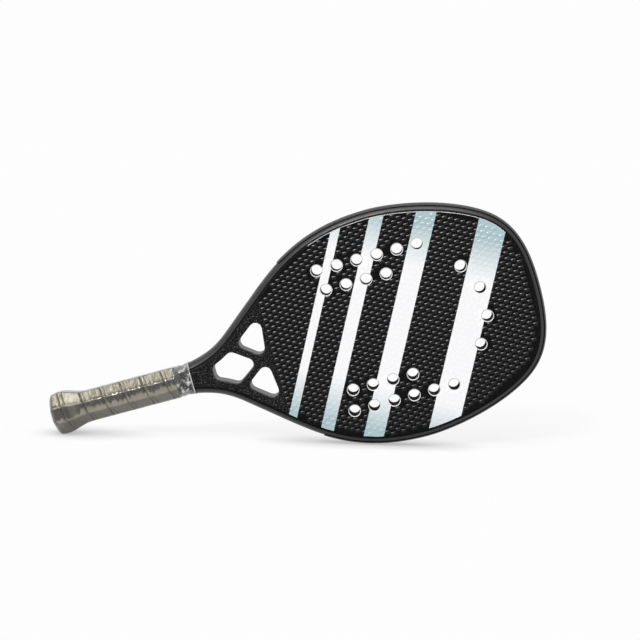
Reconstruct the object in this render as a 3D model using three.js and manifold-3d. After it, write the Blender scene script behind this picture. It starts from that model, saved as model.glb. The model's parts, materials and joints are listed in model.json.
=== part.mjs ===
// A beach tennis racket, standing on its edge as it does in the photograph.
//
// Lengths are millimetres and angles are degrees. The racket is drawn lying along X: "along" runs
// from the butt at 0 to the tip, "across" (Z) is measured from the middle line, and "deep" (Y) is
// through the thickness, with the front face towards -Y. The last section stands it on its edge.

import * as THREE from 'three';
import Module from 'manifold-3d';
import { mergeVertices } from 'three/addons/utils/BufferGeometryUtils.js';

const wasm = await Module();
wasm.setup();

// Driving sizes of the whole racket

const racketLength = 500;
const headWidth = 233.5;
const rimThickness = 22;
const seatGap = 0.3; // clearance between two pieces that seat on each other

// Head outline: places as shares of the length and of the half width, and how far each curve is
// pulled along its end directions, as shares of the distance between its ends

const flankAlongShare = 0.41;
const flankAcrossShare = 0.422;
const widestAlongShare = 0.704;
const shoulderAlongShare = 0.936;
const shoulderAcrossShare = 0.718;
const neckAngle = 8;
const flankAngle = 38.3;
const shoulderAngle = 35;
const pullShares = {
  neck: 0.5233, beforeFlank: 0.3683, afterFlank: 0.2848, beforeWidest: 0.4768,
  afterWidest: 0.2863, beforeShoulder: 0.3070, afterShoulder: 0.3777, tip: 0.3497,
};
const outlineSteps = [7, 9, 8, 7];

// Frame: one hollow tube bent round the head, with both legs running down into the handle

const rimRounding = 7; // how far the rounded rim reaches in from the outline
const headTubeWidth = 13;
const neckTubeWidth = 9.6;
const tubeWall = 2;
const neckWidth = 28.4;
const shaftWidth = 20;
const shaftThickness = 16;
const rimSteps = 8;

// Face sheets, foam core and throat

const sheetThickness = 1.2;
const coreStartShare = 0.462;
const bridgeTongue = 6; // from the start of the neck to the throat piece
const holeDiameter = 10.8;
const holeSides = 16;

// Hole pattern: lengths along as shares of the racket's length, others of the head's half width

const holePitchShare = 0.0405;
const outerRow = { count: 6, acrossShare: 0.6133, behindShare: 0.0176 };
const innerRow = { count: 4, acrossShare: 0.4377, behindShare: 0.05 };
const holeArc = { count: 4, radiusShare: 0.5182, beyondShare: 0.063, pitchAngle: 27.3 };

// Throat openings: corners as shares of the throat's length and of the half width between the tubes

const kiteShares = [[0.341, 0.626], [0.4475, 0.771], [0.562, 0.835], [0.814, 0]];
const triangleShares = [[0.631, 0.86], [0.908, 0.029], [0.964, 0.916]];
const openingRadiusShare = 0.066; // of the throat's length
const filletSteps = 4;

// Guard strip round the head's rim

const guardThickness = 0.7;
const guardStartShare = 0.495;
const guardSteps = 4; // of the rim's steps, so the strip covers its middle and not its corners

// Handle, from the butt upwards

const gripWidth = 31;
const gripThickness = 28;
const buttWidth = 42;
const domeRadius = 8; // along the handle
const domeAngles = [0, 20, 38, 54];
const endFlatWidth = 18;
const flareStart = 10;
const flareEnd = 38;
const flareSteps = 6;
const handleLength = 129;
const capWall = 3;
const capLength = 28;
const cordHoleDiameter = 9;
const cordPocket = 6;
const filmWall = 0.3;
const filmReach = 10; // from the collar onto the neck
const bandThickness = 1.9;
const bandPitch = 21;
const bandSeam = 0.5;
const bandStart = 5.5;
const bandEdgeDrop = 0.6; // the laid edge of each turn is thinner than its middle
const bandWidthShares = [0, 0.1, 0.25, 0.4, 0.55, 0.7, 0.85, 1];
const collarLength = 6.5;
const collarWall = 0.5;
const shoulderReach = 2; // the frame starts to widen this far inside the handle
const shoulderLength = 3.5;

// Corner points of one quarter of the octagonal handle, as shares of its half depth and half width

const octagonShares = [[1, 0.35], [0.965, 0.42], [0.42, 0.965], [0.35, 1], [0, 1]];

// Places that follow from the sizes above

const halfDepth = rimThickness / 2;
const guardReach = seatGap + guardThickness;
const frameHalfWidth = headWidth / 2 - guardReach;
const frameTip = racketLength - guardReach;
const widestAlong = widestAlongShare * racketLength;
const coreStart = coreStartShare * racketLength;
const collarEnd = handleLength + collarLength;
const neckStart = collarEnd + seatGap;
const filmEnd = collarEnd + filmReach;
const openingRadius = openingRadiusShare * (coreStart - neckStart);
const shoulderStart = handleLength - shoulderReach;
const shoulderEnd = shoulderStart + shoulderLength;
const flatness = gripThickness / gripWidth;
const filmInset = filmWall;
const bandInset = filmInset + seatGap;
const capInset = bandInset + bandThickness + seatGap;
const palletHalfWidth = gripWidth / 2 - capInset;
const palletHalfDepth = gripThickness / 2 - capInset;
const capFace = bandInset;
const domeEnd = bandStart - seatGap;
const palletStart = capFace + capWall + cordPocket;
const sheetSeat = sheetThickness + seatGap;
const radians = THREE.MathUtils.degToRad;

// Solids

/** A closed solid from points and triangles, turned so that its faces point outwards. */
function solid(points, faces) {
  const geometry = new THREE.BufferGeometry().setFromPoints(points);
  let volume = 0;
  for (let i = 0; i < faces.length; i += 3) {
    const [a, b, c] = [points[faces[i]], points[faces[i + 1]], points[faces[i + 2]]];
    volume += a.dot(new THREE.Vector3().crossVectors(b, c));
  }
  geometry.setIndex(volume < 0 ? [...faces].reverse() : faces);
  return geometry;
}

/** Skins rings of equal count. A loop joins the last ring to the first; otherwise the ends are capped. */
function loft(rings, { loop }) {
  const count = rings[0].length;
  const faces = [];
  const spans = loop ? rings.length : rings.length - 1;
  for (let i = 0; i < spans; i++) {
    const here = i * count;
    const next = ((i + 1) % rings.length) * count;
    for (let j = 0; j < count; j++) {
      const k = (j + 1) % count;
      faces.push(here + j, next + j, here + k, here + k, next + j, next + k);
    }
  }
  if (!loop) faces.push(...pairedCap(0, count, false), ...pairedCap(spans * count, count, true));
  return solid(rings.flat(), faces);
}

/** Closes the end of a thin section, whose first half of points faces its second half. */
function pairedCap(first, count, far) {
  const faces = [];
  for (let j = 0; j < count / 2 - 1; j++) {
    const [a, b, c, d] = [j, j + 1, count - 2 - j, count - 1 - j].map((n) => first + n);
    faces.push(...(far ? [a, d, b, b, d, c] : [a, b, d, b, c, d]));
  }
  return faces;
}

/** A flat plate of an outline drawn in along and across, from one depth to another. */
function plate(shape, from, to) {
  const geometry = new THREE.ExtrudeGeometry(shape, { depth: to - from, bevelEnabled: false });
  return geometry.rotateX(Math.PI / 2).translate(0, to, 0);
}

/** Turns a geometry into a solid that can be cut. */
function toManifold(geometry) {
  const bare = geometry.clone();
  bare.deleteAttribute('normal');
  bare.deleteAttribute('uv');
  const merged = mergeVertices(bare);
  return new wasm.Manifold(new wasm.Mesh({
    numProp: 3,
    vertProperties: merged.attributes.position.array,
    triVerts: Uint32Array.from(merged.index.array),
  }));
}

/** Keeps the stretch of a geometry that lies between two places along the racket. */
function stretch(geometry, from, to) {
  const size = 2 * buttWidth;
  const block = new THREE.BoxGeometry(to - from, size, size).translate((from + to) / 2, 0, 0);
  const mesh = toManifold(geometry).intersect(toManifold(block)).getMesh();
  const kept = new THREE.BufferGeometry();
  kept.setAttribute('position', new THREE.BufferAttribute(mesh.vertProperties, mesh.numProp));
  kept.setIndex(new THREE.BufferAttribute(mesh.triVerts, 1));
  return kept;
}

// Outline of the frame

/** A point of the outline with the direction that the curve takes there. */
function knot(along, across, angle) {
  const direction = new THREE.Vector2(Math.cos(radians(angle)), Math.sin(radians(angle)));
  return { point: new THREE.Vector2(along, across), direction };
}

/** A cubic curve between two knots, pulled along their directions. */
function curveBetween(start, end, startShare, endShare) {
  const distance = start.point.distanceTo(end.point);
  const first = start.point.clone().addScaledVector(start.direction, startShare * distance);
  const second = end.point.clone().addScaledVector(end.direction, -endShare * distance);
  return new THREE.CubicBezierCurve(start.point, first, second, end.point);
}

/** Stations of the upper half outline, from the neck to the tip, each with its outward normal. */
function outlineStations() {
  const neck = knot(neckStart, neckWidth / 2, neckAngle);
  const flank = knot(flankAlongShare * racketLength, flankAcrossShare * frameHalfWidth, flankAngle);
  const widest = knot(widestAlong, frameHalfWidth, 0);
  const shoulder = knot(
    shoulderAlongShare * racketLength, shoulderAcrossShare * frameHalfWidth, -shoulderAngle);
  const tip = knot(frameTip, 0, -90);
  const curves = [
    curveBetween(neck, flank, pullShares.neck, pullShares.beforeFlank),
    curveBetween(flank, widest, pullShares.afterFlank, pullShares.beforeWidest),
    curveBetween(widest, shoulder, pullShares.afterWidest, pullShares.beforeShoulder),
    curveBetween(shoulder, tip, pullShares.afterShoulder, pullShares.tip),
  ];
  const stations = [];
  curves.forEach((curve, index) => {
    for (let step = index ? 1 : 0; step <= outlineSteps[index]; step++) {
      const tangent = curve.getTangent(step / outlineSteps[index]);
      const outward = new THREE.Vector2(-tangent.y, tangent.x);
      stations.push({ point: curve.getPoint(step / outlineSteps[index]), outward });
    }
  });
  stations.at(-1).point.y = 0;
  return stations;
}

const outline = outlineStations();
const flank = outline[outlineSteps[0]].point;

/** Width of the frame tube, which grows from the neck to the flank of the head. */
function tubeWidth(along) {
  const grown = THREE.MathUtils.smoothstep(along, neckStart, flank.x);
  return THREE.MathUtils.lerp(neckTubeWidth, headTubeWidth, grown);
}

/** The other half of a station or point list, mirrored in the middle line and run backwards. */
function mirrored(stations) {
  return stations.map(({ point, outward, ...rest }) => ({
    point: new THREE.Vector2(point.x, -point.y),
    outward: new THREE.Vector2(outward.x, -outward.y),
    ...rest,
  })).reverse();
}

/** The point at a place along, on the line through two points. */
function onLine(a, b, along) {
  return a.clone().lerp(b, (along - a.x) / (b.x - a.x));
}

/** Points of the upper half outline, moved inwards. */
function insetEdge(inset) {
  return outline.map(({ point, outward }) => point.clone().addScaledVector(outward, -inset(point.x)));
}

/** How far across an edge lies at a place along the neck or throat. */
function acrossAt(edge, along) {
  const next = Math.max(1, edge.findIndex(({ x }) => x >= along));
  return onLine(edge[next - 1], edge[next], along).y;
}

/** The outline moved inwards, cut square between two places along, as a whole shape. */
function insetShape(inset, from, to = Infinity) {
  const edge = insetEdge(inset);
  const inside = edge.filter(({ x }) => x > from && x < to);
  const first = Math.max(1, edge.indexOf(inside[0]));
  const kept = [onLine(edge[first - 1], edge[first], from), ...inside];
  const last = edge.indexOf(inside.at(-1));
  if (last < edge.length - 1) kept.push(onLine(edge[last], edge[last + 1], to));
  const others = kept.filter(({ y }) => y > 0).map(({ x, y }) => new THREE.Vector2(x, -y));
  return new THREE.Shape([...others, ...kept.reverse()]);
}

// Frame

/** Inset and depth of each point of the frame tube's section, from its inner wall round the rim. */
function tubeSection({ depth, width }, wall) {
  const [reach, rise] = [rimRounding - wall, depth - wall];
  const rim = [];
  for (let step = 1; step < rimSteps; step++) {
    const angle = Math.PI / 2 - (step / rimSteps) * Math.PI;
    rim.push([reach * Math.cos(angle) - rimRounding, rise * Math.sin(angle)]);
  }
  const ledge = { inset: wall / 2 - rimRounding, foot: rise - sheetSeat, head: wall ? rim[0][1] : depth };
  const upper = [[wall - width, ledge.foot], [ledge.inset, ledge.foot], [ledge.inset, ledge.head]];
  return [...upper, ...rim, ...upper.map(([inset, y]) => [inset, -y]).reverse()];
}

/** The section's points in place at a station of the frame. */
function tubeRing(station, wall) {
  return tubeSection(station, wall).map(([inset, y]) => {
    const { x, y: z } = station.point.clone().addScaledVector(station.outward, inset);
    return new THREE.Vector3(x, y, z);
  });
}

/** Stations of one leg inside the handle, from its open end up to the neck. */
function legStations() {
  const outward = new THREE.Vector2(0, 1);
  const shaft = { outward, depth: shaftThickness / 2, width: (shaftWidth - seatGap) / 2 };
  return [
    { ...shaft, point: new THREE.Vector2(palletStart + seatGap, shaftWidth / 2) },
    { ...shaft, point: new THREE.Vector2(shoulderStart, shaftWidth / 2) },
    {
      outward, depth: halfDepth, width: neckTubeWidth,
      point: new THREE.Vector2(shoulderEnd, neckWidth / 2),
    },
  ];
}

function frameTube() {
  const head = outline.map((station) => ({
    ...station, depth: halfDepth, width: tubeWidth(station.point.x),
  }));
  const half = [...legStations(), ...head];
  const path = [...half, ...mirrored(half).slice(1)];
  const outside = path.map((station) => tubeRing(station, 0));
  const inside = path.map((station) => tubeRing(station, tubeWall));
  return loft([...outside, ...inside.reverse()], { loop: true });
}

/** Strip over the middle of the rim, from one flank of the head round the tip to the other. */
function edgeGuard() {
  const half = outline.filter(({ point }) => point.x > guardStartShare * racketLength);
  const path = [...half, ...mirrored(half).slice(1)];
  const row = ({ point, outward }, lift) => {
    const points = [];
    for (let step = 0; step <= guardSteps; step++) {
      const angle = ((guardSteps / 2 - step) / rimSteps) * Math.PI;
      const out = (rimRounding + lift) * Math.cos(angle) - rimRounding;
      const { x, y: z } = point.clone().addScaledVector(outward, out);
      points.push(new THREE.Vector3(x, (halfDepth + lift) * Math.sin(angle), z));
    }
    return points;
  };
  return loft(path.map((station) => [...row(station, guardReach), ...row(station, seatGap).reverse()]),
    { loop: false });
}

// Core, throat and face sheets

/** A closed path round corner points, each corner rounded by an arc. */
function roundedPath(corners) {
  const origin = new THREE.Vector2();
  const points = [];
  corners.forEach((corner, index) => {
    const before = corners.at(index - 1).clone().sub(corner).normalize();
    const after = corners[(index + 1) % corners.length].clone().sub(corner).normalize();
    const half = before.angleTo(after) / 2;
    const middle = before.clone().add(after).normalize();
    const centre = corner.clone().addScaledVector(middle, openingRadius / Math.sin(half));
    const start = before.clone().multiplyScalar(openingRadius / Math.tan(half)).add(corner).sub(centre);
    const turn = -Math.sign(start.cross(middle)) * (Math.PI - 2 * half);
    for (let step = 0; step <= filletSteps; step++) {
      points.push(start.clone().rotateAround(origin, turn * (step / filletSteps)).add(centre));
    }
  });
  return new THREE.Path(points);
}

/** How far the throat piece keeps inside the outline. */
function bridgeInset(along) {
  return tubeWidth(along) + seatGap;
}

/** Corner points from shares of the throat, on one side of the middle line or the other. */
function throatCorners(shares, side) {
  const edge = insetEdge(bridgeInset);
  return shares.map(([alongShare, acrossShare]) => {
    const along = THREE.MathUtils.lerp(neckStart, coreStart, alongShare);
    return new THREE.Vector2(along, side * acrossShare * acrossAt(edge, along));
  });
}

/** The three through openings of the throat: a kite on the middle line and a triangle each side. */
function throatOpenings() {
  const upper = throatCorners(kiteShares, 1);
  const lower = throatCorners(kiteShares, -1).reverse().slice(1);
  return [
    roundedPath([...upper, ...lower]),
    roundedPath(throatCorners(triangleShares, 1)),
    roundedPath(throatCorners(triangleShares, -1)),
  ];
}

/** A round hole as a path. */
function roundHole(along, across) {
  const points = [];
  for (let side = 0; side < holeSides; side++) {
    const angle = (side / holeSides) * 2 * Math.PI;
    points.push(new THREE.Vector2(
      along + (holeDiameter / 2) * Math.cos(angle), across + (holeDiameter / 2) * Math.sin(angle)));
  }
  return new THREE.Path(points);
}

/** Centres of all holes: two rows on each side of the middle line, and an arc near the tip. */
function holeCentres() {
  const centres = [];
  for (const row of [outerRow, innerRow]) {
    const across = row.acrossShare * headWidth / 2;
    for (let hole = 0; hole < row.count; hole++) {
      const steps = hole - (row.count - 1) / 2;
      const along = widestAlong + (steps * holePitchShare - row.behindShare) * racketLength;
      centres.push([along, across], [along, -across]);
    }
  }
  const radius = holeArc.radiusShare * headWidth / 2;
  const arcCentre = widestAlong + holeArc.beyondShare * racketLength;
  for (let hole = 0; hole < holeArc.count; hole++) {
    const angle = radians((hole - (holeArc.count - 1) / 2) * holeArc.pitchAngle);
    centres.push([arcCentre + radius * Math.cos(angle), radius * Math.sin(angle)]);
  }
  return centres;
}

const throughHoles = holeCentres().map(([along, across]) => roundHole(along, across));
const seatDepth = halfDepth - sheetSeat;

function foamCore() {
  const shape = insetShape(() => headTubeWidth + seatGap, coreStart);
  shape.holes = throughHoles;
  return plate(shape, -seatDepth, seatDepth);
}

function throatBridge() {
  const start = neckStart + bridgeTongue;
  const shape = insetShape(bridgeInset, start, coreStart - seatGap);
  shape.holes = throatOpenings();
  return plate(shape, -seatDepth, seatDepth);
}

function faceSheet(side) {
  const shape = insetShape(() => rimRounding + seatGap, neckStart + seatGap);
  shape.holes = [...throughHoles, ...throatOpenings()];
  const [near, far] = [halfDepth - sheetThickness, halfDepth];
  return side < 0 ? plate(shape, -far, -near) : plate(shape, near, far);
}

// Handle

/** A ring of the handle from the points of one quarter, given in depth and width. */
function handleRing(along, quarter) {
  const half = [...quarter, ...quarter.filter(([y]) => y > 0).map(([y, z]) => [-y, z]).reverse()];
  const other = half.map(([y, z]) => [y, -z]).reverse();
  return [...half, ...other].map(([y, z]) => new THREE.Vector3(along, y, z));
}

/** The eight-sided grip section with slightly flattened corners. */
function octagonRing({ along, width, depth }) {
  return handleRing(along, octagonShares.map(([y, z]) => [y * depth, z * width]));
}

/** The neck's section: flat faces between two rounded rims. */
function neckRing({ along, width, depth }) {
  const quarter = [];
  for (let step = 0; step <= rimSteps / 2; step++) {
    const angle = Math.PI / 2 - (step / rimSteps) * Math.PI;
    const y = step === rimSteps / 2 ? 0 : depth * Math.sin(angle);
    quarter.push([y, width - rimRounding + rimRounding * Math.cos(angle)]);
  }
  return handleRing(along, quarter);
}

/** A round ring, with its points spread evenly. */
function circleRing(along, radius) {
  const quarter = [];
  const steps = octagonShares.length - 1;
  for (let step = 0; step <= steps; step++) {
    const angle = ((steps - step) / (2 * steps + 1)) * Math.PI;
    quarter.push([radius * Math.sin(angle), radius * Math.cos(angle)]);
  }
  return handleRing(along, quarter);
}

/** Half width of the wrapped handle's outer skin, with its domed end and its flare. */
function skinHalf(along) {
  const [flat, butt, grip] = [endFlatWidth / 2, buttWidth / 2, gripWidth / 2];
  const dome = (place) => flat + (butt - flat) * Math.sqrt(1 - (1 - place / domeRadius) ** 2);
  if (along < domeEnd) return dome(Math.max(along, 0));
  if (along < flareStart) {
    return THREE.MathUtils.mapLinear(along, domeEnd, flareStart, dome(domeEnd), butt);
  }
  const share = Math.min((along - flareStart) / (flareEnd - flareStart), 1);
  return grip + (butt - grip) * (1 + Math.cos(share * Math.PI)) / 2;
}

/** Width and depth of the handle at a place, a given way under its outer skin. */
function underSkin(along, inset) {
  return { along, width: skinHalf(along) - inset, depth: flatness * skinHalf(along) - inset };
}

/** Rings of the domed end under the skin, from its flat up to where the grip starts. */
function domeRings(inset) {
  const [flat, rise] = [endFlatWidth / 2, (buttWidth - endFlatWidth) / 2];
  const rings = domeAngles.map((angle) => ({
    along: domeRadius - (domeRadius - inset) * Math.cos(radians(angle)),
    width: flat + (rise - inset) * Math.sin(radians(angle)),
    depth: flatness * flat + (flatness * rise - inset) * Math.sin(radians(angle)),
  }));
  return [...rings, underSkin(domeEnd, inset)];
}

/** Rings of the flare under the skin, from the widest part of the butt to a given end. */
function flareRings(end, inset) {
  const rings = [];
  for (let step = 0; step <= flareSteps; step++) {
    rings.push(underSkin(THREE.MathUtils.lerp(flareStart, end, step / flareSteps), inset));
  }
  return rings;
}

/** Outer size of the neck under the film, a given way above it. */
function overNeck(along, lift) {
  const half = along > neckStart ? acrossAt(insetEdge(() => 0), along) : neckWidth / 2;
  return { along, width: half + lift, depth: halfDepth + lift };
}

function handleHalf(side) {
  const lid = seatGap / 2;
  const outer = octagonShares.slice(0, -1).map(([y, z]) => [z * palletHalfWidth, y * palletHalfDepth]);
  const channel = [];
  const [width, height] = [shaftWidth / 2 + seatGap, shaftThickness / 2 + seatGap];
  for (let step = 0; step <= rimSteps / 2; step++) {
    const angle = (step / rimSteps) * Math.PI;
    const z = width - rimRounding + rimRounding * Math.cos(angle);
    channel.push([z, step ? height * Math.sin(angle) : lid]);
  }
  const right = [[palletHalfWidth, lid], ...[...outer].reverse()];
  const left = [...right].reverse().map(([z, y]) => [-z, y]);
  const inside = [...channel.map(([z, y]) => [-z, y]), ...channel.reverse()];
  const points = [...right, ...left, ...inside].map(([z, y]) => new THREE.Vector2(z, side * y));
  const depth = shoulderStart - seatGap - palletStart;
  const geometry = new THREE.ExtrudeGeometry(new THREE.Shape(points), { depth, bevelEnabled: false });
  return geometry.rotateY(Math.PI / 2).translate(palletStart, 0, 0);
}

function buttCap() {
  const cavity = { width: palletHalfWidth + seatGap, depth: palletHalfDepth + seatGap };
  const hole = cordHoleDiameter / 2;
  return loft([
    circleRing(capFace, hole),
    ...domeRings(bandInset).map(octagonRing),
    octagonRing(underSkin(domeEnd, capInset)),
    ...flareRings(capLength, capInset).map(octagonRing),
    octagonRing({ along: capLength, ...cavity }),
    octagonRing({ along: capFace + capWall, ...cavity }),
    circleRing(capFace + capWall, hole),
  ], { loop: true });
}

/** The grip tape: one band wound round the handle in a helix and cut square at both ends. */
function gripBand() {
  const perTurn = octagonRing(underSkin(handleLength, 0)).length;
  const bandWidth = bandPitch - bandSeam;
  const start = bandStart - bandPitch;
  const rows = Math.ceil(((handleLength + bandPitch - start) / bandPitch) * perTurn);
  const rings = [];
  for (let row = 0; row <= rows; row++) {
    const edge = start + (bandPitch * row) / perTurn;
    const point = (share, inset) => {
      const along = edge + share * bandWidth;
      return octagonRing({ ...underSkin(Math.max(along, bandStart), inset), along })[row % perTurn];
    };
    const outer = bandWidthShares.map((share) => point(share, bandInset + (share ? 0 : bandEdgeDrop)));
    const inner = bandWidthShares.map((share) => point(share, bandInset + bandThickness));
    rings.push([...outer, ...inner.reverse()]);
  }
  reportSeam(rings, perTurn);
  return stretch(loft(rings, { loop: false }), bandStart, handleLength - seatGap);
}

/** Prints the least distance between the facing edges of neighbouring turns of the band. */
function reportSeam(rings, perTurn) {
  let least = Infinity;
  const last = bandWidthShares.length - 1;
  for (let row = perTurn; row < rings.length; row++) {
    least = Math.min(least, rings[row][0].distanceTo(rings[row - perTurn][last]));
  }
  console.log(`grip band: least gap between turns ${least.toFixed(2)} mm`);
}

/** Rubber collar that closes the end of the grip against the widening neck. */
function gripCollar() {
  const widening = (along) => (along - shoulderStart) / shoulderLength;
  const start = {
    along: handleLength,
    width: THREE.MathUtils.lerp(shaftWidth / 2, neckWidth / 2, widening(handleLength)) + seatGap,
    depth: THREE.MathUtils.lerp(shaftThickness / 2, halfDepth, widening(handleLength)) + seatGap,
  };
  return loft([
    octagonRing(underSkin(handleLength, bandInset)),
    neckRing(overNeck(shoulderEnd, seatGap + collarWall)),
    neckRing(overNeck(collarEnd, seatGap + collarWall)),
    neckRing(overNeck(collarEnd, seatGap)),
    neckRing(overNeck(shoulderEnd, seatGap)),
    neckRing(start),
  ], { loop: true });
}

/** Clear shrink film over the grip, the collar and the start of the neck. */
function gripFilm() {
  const overCollar = 2 * seatGap + collarWall;
  const skin = (inset) => [
    ...domeRings(inset).map(octagonRing),
    ...flareRings(flareEnd, inset).map(octagonRing),
    octagonRing(underSkin(handleLength, inset)),
    neckRing(overNeck(shoulderEnd, overCollar + filmWall - inset)),
    neckRing(overNeck(collarEnd, overCollar + filmWall - inset)),
    neckRing(overNeck(collarEnd + collarWall + seatGap, seatGap + filmWall - inset)),
    neckRing(overNeck(filmEnd, seatGap + filmWall - inset)),
  ];
  return loft([...skin(0), ...skin(filmInset).reverse()], { loop: true });
}

// Finishes

const finish = (color, roughness, metalness = 0, opacity = 1) =>
  new THREE.MeshStandardMaterial({ color, roughness, metalness, opacity, transparent: opacity < 1 });

const carbon = () => finish(0x1c1c1d, 0.42);
const laminate = () => finish(0x151516, 0.5);
const foam = () => finish(0x1c1c1d, 0.85);
const plastic = () => finish(0x2b2b28, 0.55);
const rubber = () => finish(0x1f1f1d, 0.8);
const grip = () => finish(0x8c8576, 0.6);
const film = () => finish(0xe9ece9, 0.1, 0, 0.25);

// Assembly

/** Angle at which a line under the butt also touches the head. */
function standAngle() {
  const butt = [...domeRings(0), underSkin(flareStart, 0)];
  const head = outline.map(({ point, outward }) => point.clone().addScaledVector(outward, guardReach));
  const steepest = ({ along, width }) =>
    Math.max(...head.map(({ x, y }) => Math.atan2(y - width, x - along)));
  return Math.min(...butt.map(steepest));
}

const racket = new THREE.Group();

function add(name, geometry, material) {
  const mesh = new THREE.Mesh(geometry, material);
  mesh.name = name;
  racket.add(mesh);
}

add('frame_tube', frameTube(), carbon());
add('throat_bridge', throatBridge(), carbon());
add('foam_core', foamCore(), foam());
add('front_face_sheet', faceSheet(-1), laminate());
add('back_face_sheet', faceSheet(1), laminate());
add('edge_guard', edgeGuard(), plastic());
add('handle_half_front', handleHalf(-1), plastic());
add('handle_half_back', handleHalf(1), plastic());
add('butt_cap', buttCap(), plastic());
add('grip_band', gripBand(), grip());
add('grip_collar', gripCollar(), rubber());
add('grip_film', gripFilm(), film());

racket.rotation.y = -standAngle();

// The origin is on the floor, under the middle of the standing racket.
const standing = new THREE.Group();
standing.add(racket);
standing.updateMatrixWorld(true);
const extent = new THREE.Box3().setFromObject(standing, true);
const middle = extent.getCenter(new THREE.Vector3());
racket.position.set(-middle.x, -middle.y, -extent.min.z);

export default standing;
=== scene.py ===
# %% [markdown]
# # A beach tennis racket on white paper
#
# The racket is a sandwich. A foam core lies between two printed carbon sheets, and a hollow carbon
# frame runs round them and down into an eight-sided handle, which is wound with grip tape and
# wrapped in clear shrink film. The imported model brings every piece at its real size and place, so
# this lesson gives the pieces their surfaces and their fine shape. Everything is in metres.

# %% Load the frame
import json
from math import atan2, cos, degrees, pi, radians, sin

import bpy
from mathutils import Matrix, Vector
from mathutils.bvhtree import BVHTree


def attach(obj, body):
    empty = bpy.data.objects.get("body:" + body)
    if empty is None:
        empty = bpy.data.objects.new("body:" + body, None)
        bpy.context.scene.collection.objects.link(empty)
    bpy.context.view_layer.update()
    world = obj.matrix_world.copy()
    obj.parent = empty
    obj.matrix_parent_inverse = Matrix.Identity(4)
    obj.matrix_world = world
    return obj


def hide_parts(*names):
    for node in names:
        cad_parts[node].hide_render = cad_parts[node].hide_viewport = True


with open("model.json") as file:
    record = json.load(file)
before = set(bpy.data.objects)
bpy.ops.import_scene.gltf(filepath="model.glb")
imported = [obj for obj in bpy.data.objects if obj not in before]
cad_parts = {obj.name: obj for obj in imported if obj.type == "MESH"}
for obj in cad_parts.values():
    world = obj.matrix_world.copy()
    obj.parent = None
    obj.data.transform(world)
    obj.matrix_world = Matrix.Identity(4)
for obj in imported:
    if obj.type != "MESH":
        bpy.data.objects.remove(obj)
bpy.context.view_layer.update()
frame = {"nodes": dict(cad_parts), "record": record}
MM = 0.001
print("nodes:", sorted(frame["nodes"]))

# %% [markdown]
# ## The racket's own directions
#
# The racket leans on its edge, so its length doesn't run along X. It is easier to think in its own
# directions: along it from the butt, deep through it, and across it. Two mounts of the packed
# record give them. One lies on the flat end of the butt, and one on the middle line of the face.

# %% Directions and places on the racket
BUTT_FACE_ALONG = 0.6 * MM
mounts = {mount["name"]: mount for mount in frame["record"]["mounts"]}
ALONG = -Vector(mounts["butt_end"]["axis"]).normalized()
DEEP = Vector((0, 1, 0))
ACROSS = ALONG.cross(DEEP)
face_middle = Vector(mounts["front_face"]["pos_m"])
HALF_DEPTH = abs(face_middle.y)
face_middle.y = 0
MIDDLE_ALONG = (face_middle - Vector(mounts["butt_end"]["pos_m"])).dot(ALONG) + BUTT_FACE_ALONG

RACKET = Matrix((ALONG, DEEP, ACROSS)).transposed().to_4x4()
RACKET.translation = face_middle - MIDDLE_ALONG * ALONG
TO_RACKET = RACKET.inverted()
print("the racket leans by", round(degrees(atan2(ALONG.z, ALONG.x)), 2), "degrees")

# %% [markdown]
# ## Camera
#
# The racket was seen with a short telephoto lens from one and a half metres away, a little from
# above. Yaw turns the camera to the left, pitch tips it down, and roll levels the picture.

# %% Camera
CAMERA_PLACE = (0.06785, -1.5038, 0.30022)
YAW, PITCH, ROLL = radians(1.744), radians(6.762), radians(1.627)
LENS_MM = 86.417

bpy.ops.object.camera_add()
camera = bpy.context.object
camera.name = "camera"
camera.data.lens = LENS_MM
aim = Matrix.Rotation(YAW, 4, "Z") @ Matrix.Rotation(pi / 2 - PITCH, 4, "X")
camera.matrix_world = Matrix.Translation(CAMERA_PLACE) @ aim @ Matrix.Rotation(ROLL, 4, "Z")
bpy.context.scene.camera = camera
bpy.context.scene.view_settings.view_transform = "Standard"
print("the camera stands at", CAMERA_PLACE)

# %% [markdown]
# ## Helpers for finishes
#
# Colours are written as they look on a screen, and one function turns them into the linear numbers
# that a shader needs. Another adds a node with its settings, its values and its links, so that a
# finish reads as a list of what it does. A Mix node keeps a set of sockets for each kind of value.
# Colours use inputs 6 and 7 and output 2, and directions use inputs 4 and 5 and output 1.

# %% Colour and node helpers
def colour(code):
    """A linear colour with alpha from an sRGB hex code."""
    channels = [int(code[place : place + 2], 16) / 255 for place in (1, 3, 5)]
    return [c / 12.92 if c <= 0.04045 else ((c + 0.055) / 1.055) ** 2.4 for c in channels] + [1.0]


def set_inputs(tree, node, values):
    """Sets inputs to numbers or colour codes, or links them to an output or a node's first one."""
    for name, value in values.items():
        if isinstance(value, bpy.types.Node):
            value = value.outputs[0]
        if isinstance(value, bpy.types.NodeSocket):
            tree.links.new(value, node.inputs[name])
        else:
            node.inputs[name].default_value = colour(value) if isinstance(value, str) else value


def add_node(tree, kind, values={}, stops=(), **settings):
    """Adds a node with its inputs and settings. Stops fill a colour ramp."""
    made = tree.nodes.new(kind)
    for name, setting in settings.items():
        setattr(made, name, setting)
    set_inputs(tree, made, values)
    for number, (position, code) in enumerate(stops):
        elements = made.color_ramp.elements
        element = elements[number] if number < 2 else elements.new(position)
        element.position = position
        element.color = colour(code)
    return made


# %% Material helpers
def new_material(name, base, roughness, **values):
    """A material with a Principled shader. Other values are its inputs, with _ for a space."""
    material = bpy.data.materials.new(name)
    material.use_nodes = True
    tree = material.node_tree
    shader = tree.nodes["Principled BSDF"]
    set_inputs(tree, shader, {"Base Color": base, "Roughness": roughness})
    set_inputs(tree, shader, {key.replace("_", " "): value for key, value in values.items()})
    print("material:", name)
    return material, tree, shader


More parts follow.
